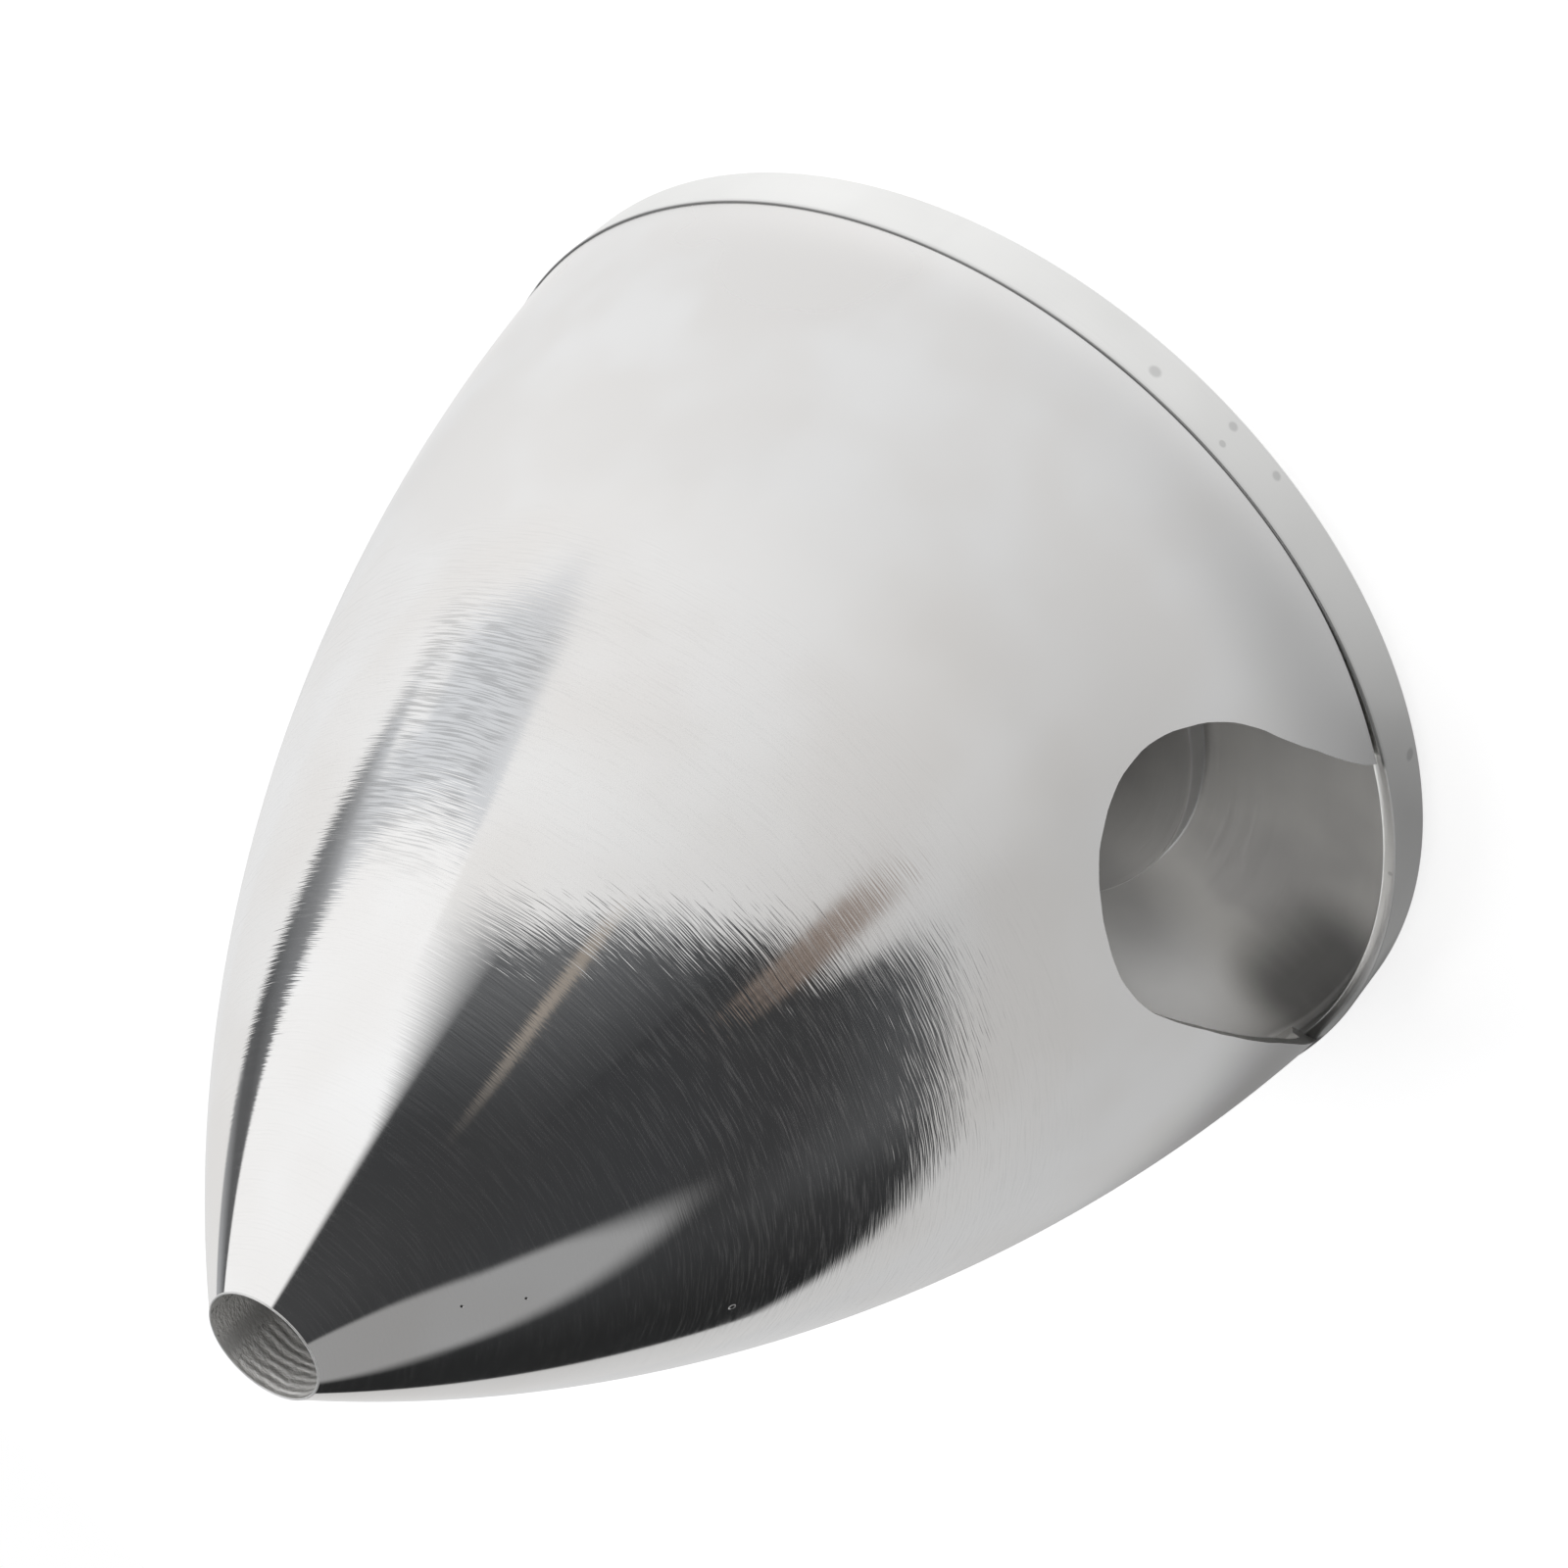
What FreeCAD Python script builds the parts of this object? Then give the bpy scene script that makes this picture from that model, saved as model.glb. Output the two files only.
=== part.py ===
import FreeCAD, Part
import math
import os
import Sketcher

# Two-blade propeller spinner: a nose cone on its backplate, held by a screw down the nose.
# Millimetres. +Z is the propeller's axis towards the nose, z = 0 is the backplate's flat rear face.
# The blades leave along X through two cut-outs, half a turn apart.

SIZES = [
    # nose cone
    ("cone_radius", 32.0, "outside radius at the cone's base"),
    ("cone_length", 64.2, "base to nose"),
    ("side_arc_radius", 113.0, "one arc makes the whole side"),
    ("shell_wall", 0.75, "thickness of the turned shell"),
    ("nose_land", 0.05, "flat left round the bore at the tip"),
    ("seat_depth", 10.0, "tip to the face that the screw pulls on"),
    ("seat_thickness", 4.0, "metal under the screw's seat"),
    ("cavity_fillet", 2.0, "rounded end of the bored-out inside"),
    # register ring inside the cone's base
    ("register_wall", 0.6, "thickness of the ring"),
    ("register_depth", 0.8, "how far it goes down into the backplate"),
    ("register_rise", 2.0, "where it runs out into the shell"),
    ("register_bevel", 0.6, "height of the ring's sloped top"),
    ("register_clearance", 0.05, "between the ring and the backplate"),
    # blade cut-outs
    ("slot_width", 16.9, "across the two parallel sides"),
    ("slot_pitch", 44.5, "degrees between the cut-out and the base, as the blades are pitched"),
    ("slot_reach", 12.8, "blade's axis to the centre of the round end"),
    ("slot_overrun", 6.0, "how far the cutter runs past the base and the shell"),
    # backplate
    ("plate_height", 3.5, "rear face to ledge"),
    ("rim_overhang", 0.15, "how far the front edge stands out past the cone"),
    ("rim_taper", 0.2, "radius lost from the front edge to the rear edge"),
    ("rim_chamfer", 0.25, "broken rear edge"),
    ("ledge_width", 0.75, "seat for the cone's edge, from the cone's outside"),
    ("ledge_chamfer", 0.1, "broken inner edge of the ledge"),
    ("recess_depth", 2.1, "ledge to the web"),
    ("recess_fillet", 0.6, "round at the foot of the recess"),
    ("boss_radius", 17.9, "pad that the propeller's hub sits on"),
    ("boss_drop", 0.75, "ledge to the face of the pad"),
    ("boss_chamfer", 0.2, "broken edge of the pad"),
    # space for the propeller's hub
    ("hub_height", 9.5, "pad to nut, the thickness of a propeller's hub"),
    # crankshaft and its reducer bush
    ("crank_diameter", 8.0, "the engine's crankshaft and its thread"),
    ("crank_clearance", 0.05, "between the crankshaft and the bush"),
    ("bush_wall", 0.93, "thickness of the bush"),
    ("bush_clearance", 0.02, "between the bush and the backplate"),
    ("bush_chamfer", 0.2, "lead-in at both ends"),
    # nut
    ("nut_across_flats", 13.0, "spanner size"),
    ("nut_length", 16.0, "flange to front end"),
    ("nut_bevel", 30.0, "degrees of the bevel on the hexagon's corners"),
    ("flange_rim", 2.0, "how far the flange stands out past the flats"),
    ("flange_height", 1.8, "thickness of the flange"),
    ("collar_step", 1.0, "how far the round front end lies inside the flats"),
    ("collar_height", 3.5, "length of the round front end"),
    ("collar_chamfer", 0.2, "broken front edge"),
    ("crank_depth", 8.5, "depth of the thread for the crankshaft"),
    # nose screw and washer
    ("screw_diameter", 4.0, "thread size"),
    ("screw_engagement", 5.05, "how far the screw goes into the nut"),
    ("screw_chamfer", 0.3, "broken edge of the screw's end"),
    ("thread_clearance", 0.05, "between the screw and its tapped hole"),
    ("seat_clearance", 0.2, "between the screw and the holes that it passes"),
    ("head_diameter", 7.0, "socket head"),
    ("head_height", 4.0, "socket head"),
    ("head_chamfer", 0.3, "broken edge of the head"),
    ("head_clearance", 0.1, "between the head and the nose bore"),
    ("key_across_flats", 3.0, "hexagon socket"),
    ("key_depth", 2.0, "depth of the socket"),
    ("washer_thickness", 0.5, "under the head"),
    ("washer_clearance", 0.15, "between the washer and the nose bore"),
]

# Heights and radii that several pieces share, worked out from the sizes above
LEDGE = "Sizes.plate_height"
PAD = "(Sizes.plate_height - Sizes.boss_drop)"
NUT_BASE = "(%s + Sizes.hub_height)" % PAD
BLADE_AXIS = "(Sizes.hub_height / 2 - Sizes.boss_drop)"
SEAT = "(Sizes.cone_length - Sizes.seat_depth)"
CAVITY_END = "(Sizes.cone_length - Sizes.seat_depth - Sizes.seat_thickness)"
RECESS_RADIUS = "(Sizes.cone_radius - Sizes.ledge_width)"
RING_OUTSIDE = "(%s - Sizes.register_clearance)" % RECESS_RADIUS
RING_INSIDE = "(%s - Sizes.register_wall)" % RING_OUTSIDE
CRANK_BORE = "(Sizes.crank_diameter / 2 + Sizes.crank_clearance)"
BUSH_OUTSIDE = "(%s + Sizes.bush_wall)" % CRANK_BORE
PLATE_BORE = "(%s + Sizes.bush_clearance)" % BUSH_OUTSIDE
NOSE_BORE = "(Sizes.head_diameter / 2 + Sizes.head_clearance)"
SEAT_HOLE = "(Sizes.screw_diameter / 2 + Sizes.seat_clearance)"
UNDER_HEAD = "(%s + %s + Sizes.washer_thickness)" % (LEDGE, SEAT)
SCREW_LENGTH = "(%s - %s - Sizes.nut_length + Sizes.screw_engagement)" % (UNDER_HEAD, NUT_BASE)

# Edges this close count as lying at one height
SAME_HEIGHT = 0.001

doc = FreeCAD.newDocument("spinner")
sheet = doc.addObject("Spreadsheet::Sheet", "Sizes")
for row, (name, size, note) in enumerate(SIZES, start=1):
    sheet.set("A%d" % row, name)
    sheet.set("B%d" % row, str(size))
    sheet.set("C%d" % row, note)
    sheet.setAlias("B%d" % row, name)
doc.recompute()


def value(expression):
    """What an expression on the sheet comes to, as a plain number."""
    result = sheet.evalExpression(expression.replace("Sizes.", ""))
    return float(getattr(result, "Value", result))


def new_body(name, height=None):
    """An empty body. Its own origin stands on the shared axis at the given height."""
    body = doc.addObject("PartDesign::Body", name)
    body.Label = name
    if height:
        body.setExpression("Placement.Base.z", height)
    return body


def new_sketch(body, name, plane, height=None):
    """A sketch on one of the body's own origin planes, or at a height above it."""
    sketch = body.newObject("Sketcher::SketchObject", name)
    for feature in body.Origin.OriginFeatures:
        if feature.Role == plane:
            sketch.AttachmentSupport = [(feature, "")]
    sketch.MapMode = "FlatFace"
    if height:
        sketch.setExpression("AttachmentOffset.Base.z", height)
    return sketch


def bind(sketch, constraint, name, expression):
    """Adds a constraint whose size comes from the sheet."""
    index = sketch.addConstraint(constraint)
    sketch.renameConstraint(index, name)
    sketch.setExpression("Constraints." + name, expression)


def place(sketch, edge, end, name, x, y):
    """Holds one end of an edge at a place given by expressions. None leaves that way free."""
    for kind, axis, suffix, expression in (("DistanceX", -2, "_x", x), ("DistanceY", -1, "_y", y)):
        if expression == "0":
            sketch.addConstraint(Sketcher.Constraint("PointOnObject", edge, end, axis))
        elif expression is not None:
            distance = Sketcher.Constraint(kind, -1, 1, edge, end, value(expression))
            bind(sketch, distance, name + suffix, expression)


def join(sketch, ends):
    """Closes an outline. Each edge gives the end that it is entered by and the end that it is left by."""
    for i in range(len(ends)):
        following = (i + 1) % len(ends)
        sketch.addConstraint(Sketcher.Constraint("Coincident", i, ends[i][1], following, ends[following][0]))


def polygon(sketch, corners):
    """Closed outline of straight edges, with every corner held by expressions."""
    points = [FreeCAD.Vector(value(x), value(y), 0) for _, x, y in corners]
    for i, point in enumerate(points):
        sketch.addGeometry(Part.LineSegment(point, points[(i + 1) % len(points)]), False)
    join(sketch, [(1, 2)] * len(points))
    for i, (name, x, y) in enumerate(corners):
        place(sketch, i, 1, name, x, y)


def hexagon(sketch, across_flats):
    """Regular hexagon round the axis."""
    corners = []
    for k in range(6):
        x = "(%s / 2 / cos(30) * cos(%d))" % (across_flats, 60 * k + 30)
        y = "(%s / 2 / cos(30) * sin(%d))" % (across_flats, 60 * k + 30)
        corners.append(("corner%d" % k, "0" if k in (1, 4) else x, y))
    polygon(sketch, corners)


def circles(sketch, *radii):
    """Circles round the axis."""
    for i, radius in enumerate(radii):
        sketch.addGeometry(Part.Circle(FreeCAD.Vector(), FreeCAD.Vector(0, 0, 1), value(radius)), False)
        sketch.addConstraint(Sketcher.Constraint("Coincident", i, 3, -1, 1))
        bind(sketch, Sketcher.Constraint("Radius", i, value(radius)), "radius%d" % i, radius)


def turn(body, sketch, kind, name):
    """Turns a profile round the axis, as a solid (Revolution) or a cut (Groove)."""
    feature = body.newObject("PartDesign::" + kind, name)
    feature.Profile = sketch
    feature.ReferenceAxis = (sketch, ["V_Axis"])
    feature.Angle = 360
    return feature


def extrude(body, sketch, kind, name, length, reverse=False):
    """Pad along the sketch's normal or Pocket against it, unless reversed."""
    feature = body.newObject("PartDesign::" + kind, name)
    feature.Profile = sketch
    feature.Reversed = reverse
    feature.setExpression("Length", length)
    return feature


def dress(body, base, kind, name, size, height):
    """Fillet or chamfer on the outermost round edge that a feature has at one height."""
    doc.recompute()
    found = {}
    for i, edge in enumerate(base.Shape.Edges, start=1):
        if isinstance(edge.Curve, Part.Circle) and abs(edge.Curve.Center.z - value(height)) < SAME_HEIGHT:
            found[edge.Curve.Radius] = "Edge%d" % i
    feature = body.newObject("PartDesign::" + kind, name)
    feature.Base = (base, [found[max(found)]])
    feature.setExpression("Radius" if kind == "Fillet" else "Size", size)
    return feature


def body_volume(body):
    """Volume of a body as far as it is built."""
    doc.recompute()
    return body.Shape.Volume


def cone_profile(body):
    """Half section of the cone: one arc outside, the same arc offset by the wall inside."""
    sketch = new_sketch(body, "cone_profile", "XZ_Plane")
    corners = [
        ("tip_outside", "(%s + Sizes.nose_land)" % NOSE_BORE, "Sizes.cone_length"),
        ("tip_inside", NOSE_BORE, "Sizes.cone_length"),
        ("seat_outside", NOSE_BORE, SEAT),
        ("seat_inside", SEAT_HOLE, SEAT),
        ("cavity_inside", SEAT_HOLE, CAVITY_END),
        ("cavity_outside", None, CAVITY_END),
        ("ring_start", None, "Sizes.register_rise"),
        ("ring_top", RING_INSIDE, "(Sizes.register_rise - Sizes.register_bevel)"),
        ("ring_foot_inside", RING_INSIDE, "-Sizes.register_depth"),
        ("ring_foot_outside", RING_OUTSIDE, "-Sizes.register_depth"),
        ("base_inside", RING_OUTSIDE, "0"),
        ("base_outside", "Sizes.cone_radius", "0"),
    ]

    # Centre of the side's arc, from its two ends and its radius
    base = FreeCAD.Vector(value("Sizes.cone_radius"), 0, 0)
    tip = FreeCAD.Vector(value(corners[0][1]), value(corners[0][2]), 0)
    chord = tip - base
    radius = value("Sizes.side_arc_radius")
    inward = chord.cross(FreeCAD.Vector(0, 0, -1)).normalize()
    centre = (base + tip) / 2 + inward * math.sqrt(radius ** 2 - (chord.Length / 2) ** 2)
    inner_radius = radius - value("Sizes.shell_wall")

    def on_inner_arc(height):
        return FreeCAD.Vector(centre.x + math.sqrt(inner_radius ** 2 - (height - centre.y) ** 2), height, 0)

    points = []
    for _, x, y in corners:
        points.append(on_inner_arc(value(y)) if x is None else FreeCAD.Vector(value(x), value(y), 0))
    inside, outside = 5, 11
    for i, point in enumerate(points):
        following = points[(i + 1) % len(points)]
        middle = (point + following) / 2 - centre
        if i == inside:
            sketch.addGeometry(Part.Arc(following, centre + middle.normalize() * inner_radius, point), False)
        elif i == outside:
            sketch.addGeometry(Part.Arc(point, centre + middle.normalize() * radius, following), False)
        else:
            sketch.addGeometry(Part.LineSegment(point, following), False)

    # An arc's ends count anticlockwise, so the inside arc is entered by its second end
    ends = [(1, 2)] * len(points)
    ends[inside] = (2, 1)
    join(sketch, ends)
    for i, (name, x, y) in enumerate(corners):
        place(sketch, i, ends[i][0], name, x, y)
    bind(sketch, Sketcher.Constraint("Radius", outside, radius), "outside_arc", "Sizes.side_arc_radius")
    inside_arc = "Sizes.side_arc_radius - Sizes.shell_wall"
    bind(sketch, Sketcher.Constraint("Radius", inside, inner_radius), "inside_arc", inside_arc)
    sketch.addConstraint(Sketcher.Constraint("Coincident", inside, 3, outside, 3))
    return sketch


def slot_outline(body):
    """Blade cut-out from the side: parallel sides at the blades' pitch, one round end, open below."""
    sketch = new_sketch(body, "slot_outline", "YZ_Plane")
    centre_x = "(-Sizes.slot_reach * cos(Sizes.slot_pitch))"
    centre_y = "(%s + Sizes.slot_reach * sin(Sizes.slot_pitch))" % BLADE_AXIS
    below_axis = "(Sizes.slot_overrun + %s)" % BLADE_AXIS
    foot_x = "((Sizes.slot_width / 2 + %s * cos(Sizes.slot_pitch)) / sin(Sizes.slot_pitch))" % below_axis
    foot_y = "-Sizes.slot_overrun"

    pitch = math.radians(value("Sizes.slot_pitch"))
    radius = value("Sizes.slot_width / 2")
    up = FreeCAD.Vector(-math.cos(pitch), math.sin(pitch), 0) * radius
    across = FreeCAD.Vector(math.sin(pitch), math.cos(pitch), 0) * radius
    centre = FreeCAD.Vector(value(centre_x), value(centre_y), 0)
    high = centre + across
    low = centre - across
    foot = FreeCAD.Vector(value(foot_x), value(foot_y), 0)
    other_foot = foot - FreeCAD.Vector(2 * radius / math.sin(pitch), 0, 0)

    round_end, near_side, bottom, far_side = 0, 1, 2, 3
    sketch.addGeometry(Part.Arc(high, centre + up, low), False)
    sketch.addGeometry(Part.LineSegment(low, other_foot), False)
    sketch.addGeometry(Part.LineSegment(other_foot, foot), False)
    sketch.addGeometry(Part.LineSegment(foot, high), False)
    sketch.addConstraint(Sketcher.Constraint("Tangent", round_end, 2, near_side, 1))
    sketch.addConstraint(Sketcher.Constraint("Coincident", near_side, 2, bottom, 1))
    sketch.addConstraint(Sketcher.Constraint("Coincident", bottom, 2, far_side, 1))
    sketch.addConstraint(Sketcher.Constraint("Tangent", far_side, 2, round_end, 1))
    sketch.addConstraint(Sketcher.Constraint("Horizontal", bottom))
    sketch.addConstraint(Sketcher.Constraint("Parallel", near_side, far_side))
    bind(sketch, Sketcher.Constraint("Radius", round_end, radius), "end_radius", "Sizes.slot_width / 2")
    place(sketch, round_end, 3, "centre", centre_x, centre_y)
    place(sketch, far_side, 1, "foot", foot_x, foot_y)
    return sketch


def make_nose_cone():
    """Turned shell with a thick bored nose, and two blade cut-outs half a turn apart."""
    body = new_body("nose_cone", LEDGE)
    turned = turn(body, cone_profile(body), "Revolution", "turned_shell")
    rounded = dress(body, turned, "Fillet", "cavity_round", "Sizes.cavity_fillet", CAVITY_END)
    outline = slot_outline(body)
    slot = extrude(body, outline, "Pocket", "blade_slot", "Sizes.cone_radius + Sizes.slot_overrun")
    slots = body.newObject("PartDesign::PolarPattern", "blade_slots")
    slots.Originals = [slot]
    slots.Axis = (outline, ["V_Axis"])
    slots.Angle = 360
    slots.Occurrences = 2
    body.Tip = slots
    doc.recompute()
    if not slots.Shape.Volume < slot.Shape.Volume < rounded.Shape.Volume:
        raise ValueError("the blade cut-outs don't cut the cone")
    return body


def make_backplate():
    """Turned disc: tapered rim, ledge for the cone's edge, recess, and a pad for the propeller's hub."""
    body = new_body("backplate")
    sketch = new_sketch(body, "plate_profile", "XZ_Plane")
    rear_radius = "(Sizes.cone_radius + Sizes.rim_overhang - Sizes.rim_taper)"
    web = "(Sizes.plate_height - Sizes.recess_depth)"
    polygon(sketch, [
        ("bore_rear", PLATE_BORE, "0"),
        ("rear_face", rear_radius + " - Sizes.rim_chamfer", "0"),
        ("rear_edge", rear_radius, "Sizes.rim_chamfer"),
        ("front_edge", "Sizes.cone_radius + Sizes.rim_overhang", LEDGE),
        ("ledge_inside", RECESS_RADIUS + " + Sizes.ledge_chamfer", LEDGE),
        ("recess_mouth", RECESS_RADIUS, "Sizes.plate_height - Sizes.ledge_chamfer"),
        ("recess_foot", RECESS_RADIUS, web),
        ("pad_foot", "Sizes.boss_radius", web),
        ("pad_side", "Sizes.boss_radius", PAD + " - Sizes.boss_chamfer"),
        ("pad_face", "Sizes.boss_radius - Sizes.boss_chamfer", PAD),
        ("bore_front", PLATE_BORE, PAD),
    ])
    turned = turn(body, sketch, "Revolution", "turned_plate")
    dress(body, turned, "Fillet", "recess_round", "Sizes.recess_fillet", web)
    return body


def make_shaft_bush():
    """Reducer ring that lines the backplate's bore."""
    body = new_body("shaft_bush")
    sketch = new_sketch(body, "bush_profile", "XZ_Plane")
    polygon(sketch, [
        ("rear_inside", CRANK_BORE + " + Sizes.bush_chamfer", "0"),
        ("rear_outside", BUSH_OUTSIDE + " - Sizes.bush_chamfer", "0"),
        ("side_rear", BUSH_OUTSIDE, "Sizes.bush_chamfer"),
        ("side_front", BUSH_OUTSIDE, PAD + " - Sizes.bush_chamfer"),
        ("front_outside", BUSH_OUTSIDE + " - Sizes.bush_chamfer", PAD),
        ("front_inside", CRANK_BORE + " + Sizes.bush_chamfer", PAD),
        ("bore_front", CRANK_BORE, PAD + " - Sizes.bush_chamfer"),
        ("bore_rear", CRANK_BORE, "Sizes.bush_chamfer"),
    ])
    turn(body, sketch, "Revolution", "turned_ring")
    return body


def make_adapter_nut():
    """Flanged hexagon nut for the crankshaft, tapped at the front for the nose screw."""
    body = new_body("adapter_nut", NUT_BASE)
    shoulder = "(Sizes.nut_length - Sizes.collar_height)"
    flats = new_sketch(body, "nut_flats", "XY_Plane")
    hexagon(flats, "Sizes.nut_across_flats")
    extrude(body, flats, "Pad", "nut_hexagon", shoulder)

    # A wedge turned round the axis bevels the hexagon's corners
    wedge = new_sketch(body, "nut_bevel_profile", "XZ_Plane")
    flat = "Sizes.nut_across_flats / 2"
    reach = "Sizes.nut_across_flats"
    slope = "%s - (%s - %s) * tan(Sizes.nut_bevel)" % (shoulder, reach, flat)
    corners = [("flat_edge", flat, shoulder), ("wedge_top", reach, shoulder), ("wedge_foot", reach, slope)]
    polygon(wedge, corners)
    turn(body, wedge, "Groove", "nut_bevel")

    flange = new_sketch(body, "nut_flange_outline", "XY_Plane")
    circles(flange, "Sizes.nut_across_flats / 2 + Sizes.flange_rim")
    extrude(body, flange, "Pad", "nut_flange", "Sizes.flange_height")
    collar = new_sketch(body, "nut_collar_outline", "XY_Plane", shoulder)
    circles(collar, "Sizes.nut_across_flats / 2 - Sizes.collar_step")
    collar_pad = extrude(body, collar, "Pad", "nut_collar", "Sizes.collar_height")
    dress(body, collar_pad, "Chamfer", "collar_edge", "Sizes.collar_chamfer", "Sizes.nut_length")

    crank = new_sketch(body, "crank_hole_outline", "XY_Plane")
    circles(crank, "Sizes.crank_diameter / 2")
    solid_volume = body_volume(body)
    extrude(body, crank, "Pocket", "crank_hole", "Sizes.crank_depth", reverse=True)
    tapped = new_sketch(body, "tapped_hole_outline", "XY_Plane", "Sizes.nut_length")
    circles(tapped, "Sizes.screw_diameter / 2 + Sizes.thread_clearance")
    bored_volume = body_volume(body)
    extrude(body, tapped, "Pocket", "tapped_hole", "Sizes.nut_length")
    if not body_volume(body) < bored_volume < solid_volume:
        raise ValueError("the nut's holes don't cut it")
    return body


def make_nose_screw():
    """Socket head screw. Its own origin lies under the head."""
    body = new_body("nose_screw", UNDER_HEAD)
    sketch = new_sketch(body, "screw_profile", "XZ_Plane")
    shank = "Sizes.screw_diameter / 2"
    head = "Sizes.head_diameter / 2"
    polygon(sketch, [
        ("end_axis", "0", "-" + SCREW_LENGTH),
        ("end_face", shank + " - Sizes.screw_chamfer", "-" + SCREW_LENGTH),
        ("end_side", shank, "Sizes.screw_chamfer - " + SCREW_LENGTH),
        ("under_head", shank, "0"),
        ("head_foot", head, "0"),
        ("head_side", head, "Sizes.head_height - Sizes.head_chamfer"),
        ("head_top", head + " - Sizes.head_chamfer", "Sizes.head_height"),
        ("top_axis", "0", "Sizes.head_height"),
    ])
    turn(body, sketch, "Revolution", "turned_screw")
    turned_volume = body_volume(body)
    socket = new_sketch(body, "key_outline", "XY_Plane", "Sizes.head_height")
    hexagon(socket, "Sizes.key_across_flats")
    extrude(body, socket, "Pocket", "key_socket", "Sizes.key_depth")
    if not body_volume(body) < turned_volume:
        raise ValueError("the socket doesn't cut the screw")
    return body


def make_seat_washer():
    """Flat washer between the screw's head and its seat."""
    body = new_body("seat_washer", "%s + %s" % (LEDGE, SEAT))
    sketch = new_sketch(body, "washer_outline", "XY_Plane")
    circles(sketch, NOSE_BORE + " - Sizes.washer_clearance", SEAT_HOLE)
    extrude(body, sketch, "Pad", "washer_disc", "Sizes.washer_thickness")
    return body


def check(bodies):
    """Stops on a failed feature, or a piece with no sound solid."""
    for item in doc.Objects:
        if "Invalid" in item.State or "Error" in item.State:
            raise ValueError("%s failed: %s" % (item.Name, item.State))
    for body in bodies:
        shape = body.Shape
        if shape.isNull() or not shape.isValid() or len(shape.Solids) != 1:
            raise ValueError("%s has no sound solid" % body.Label)


pieces = [
    make_nose_cone(),
    make_backplate(),
    make_shaft_bush(),
    make_adapter_nut(),
    make_nose_screw(),
    make_seat_washer(),
]
doc.recompute()
check(pieces)

os.makedirs("parts", exist_ok=True)
for piece in pieces:
    piece.Shape.exportStep("parts/%s.step" % piece.Label)
    print("%s: %.1f mm3" % (piece.Label, piece.Shape.Volume))
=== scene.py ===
import math

import bmesh
import bpy
from mathutils import Matrix, Vector


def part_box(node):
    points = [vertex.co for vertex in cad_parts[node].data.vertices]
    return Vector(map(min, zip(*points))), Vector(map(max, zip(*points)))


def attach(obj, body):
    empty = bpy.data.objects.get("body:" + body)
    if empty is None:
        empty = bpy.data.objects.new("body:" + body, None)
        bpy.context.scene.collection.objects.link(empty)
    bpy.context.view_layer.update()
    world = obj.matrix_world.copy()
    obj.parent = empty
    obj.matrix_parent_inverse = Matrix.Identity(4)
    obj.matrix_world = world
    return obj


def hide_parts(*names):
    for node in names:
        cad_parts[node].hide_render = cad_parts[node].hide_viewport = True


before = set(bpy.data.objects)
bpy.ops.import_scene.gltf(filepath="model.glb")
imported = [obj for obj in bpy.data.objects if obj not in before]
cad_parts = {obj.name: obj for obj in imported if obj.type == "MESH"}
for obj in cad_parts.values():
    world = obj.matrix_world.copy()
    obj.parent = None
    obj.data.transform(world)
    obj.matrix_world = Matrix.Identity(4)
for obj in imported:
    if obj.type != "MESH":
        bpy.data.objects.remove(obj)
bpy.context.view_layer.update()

# A polished spinner for a two-blade propeller, standing on its backplate.
# Blender works in metres. Sizes below are millimetres, and MM turns them into metres.
# +Z is the propeller's axis towards the nose, and the blades leave along X.

MM = 0.001

# What the fixed model gives: the highest x, y and z of its two large pieces
CONE_HIGH = [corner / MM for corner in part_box("nose_cone")[1]]
PLATE_HIGH = [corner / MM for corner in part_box("backplate")[1]]
LEDGE = PLATE_HIGH[2]
TIP = CONE_HIGH[2]
BASE_RADIUS = CONE_HIGH[1]
RIM_RADIUS = PLATE_HIGH[0]

# Cone
SIDE_ARC_RADIUS = 113.0
SHELL_WALL = 0.75
NOSE_BORE_RADIUS = 3.6
NOSE_LAND = 0.05
SEAT_DEPTH = 10.0
SEAT_THICKNESS = 4.0
SEAT_HOLE_RADIUS = 2.2
RING_OUTSIDE = 31.2
RING_INSIDE = 30.6
RING_DEPTH = 0.8
RING_RISE = 2.0
RING_BEVEL = 0.6

# Blade cut-outs
SLOT_WIDTH = 16.9
SLOT_PITCH = math.radians(44.5)
SLOT_REACH = 12.8
BLADE_AXIS = LEDGE + 4.0
SLOT_OVERRUN = 6.0

# Plate
RECESS_RADIUS = 31.25
RECESS_DEPTH = 2.1
RECESS_ROUND = 0.6
PAD_RADIUS = 17.9
PAD_DROP = 0.75
PLATE_BORE_RADIUS = 5.0
RIM_TAPER = 0.2

# Edges and wear that only show close up
REAR_EDGE = 0.25
FRONT_EDGE = 0.1
PAD_EDGE = 0.25
LIP = 0.07
# Strokes of the file along a cut-out's edge, from where its round end begins: place, depth
FILE_STROKES = [
    (-17, -0.04), (-12, 0.10), (-7, 0.17), (-2, 0.19), (3, -0.03), (8, -0.20),
    (18, 0.17), (23, -0.06), (28, -0.17), (33, 0.01),
]
FILE_STROKE_WIDTH = 3.2
FILE_WAVE = 0.012
# The shell's sharp corner is bent in and up, and its point is worn blunt
CORNER_AZIMUTH = 194.7
CORNER_REACH = 30.0
CORNER_TALL = 9.0
CORNER_IN = 0.20
CORNER_UP = 0.25
CORNER_WORN = 0.75
CORNER_WEAR_REACH = 6.0
# Rings that the boring tool left in the nose bore, plainest at one azimuth
GROOVE_PITCH = 0.56
GROOVE_DEPTH = 0.045
GROOVE_AZIMUTH = math.radians(105)
TORN_DEPTH = 0.07
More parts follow.
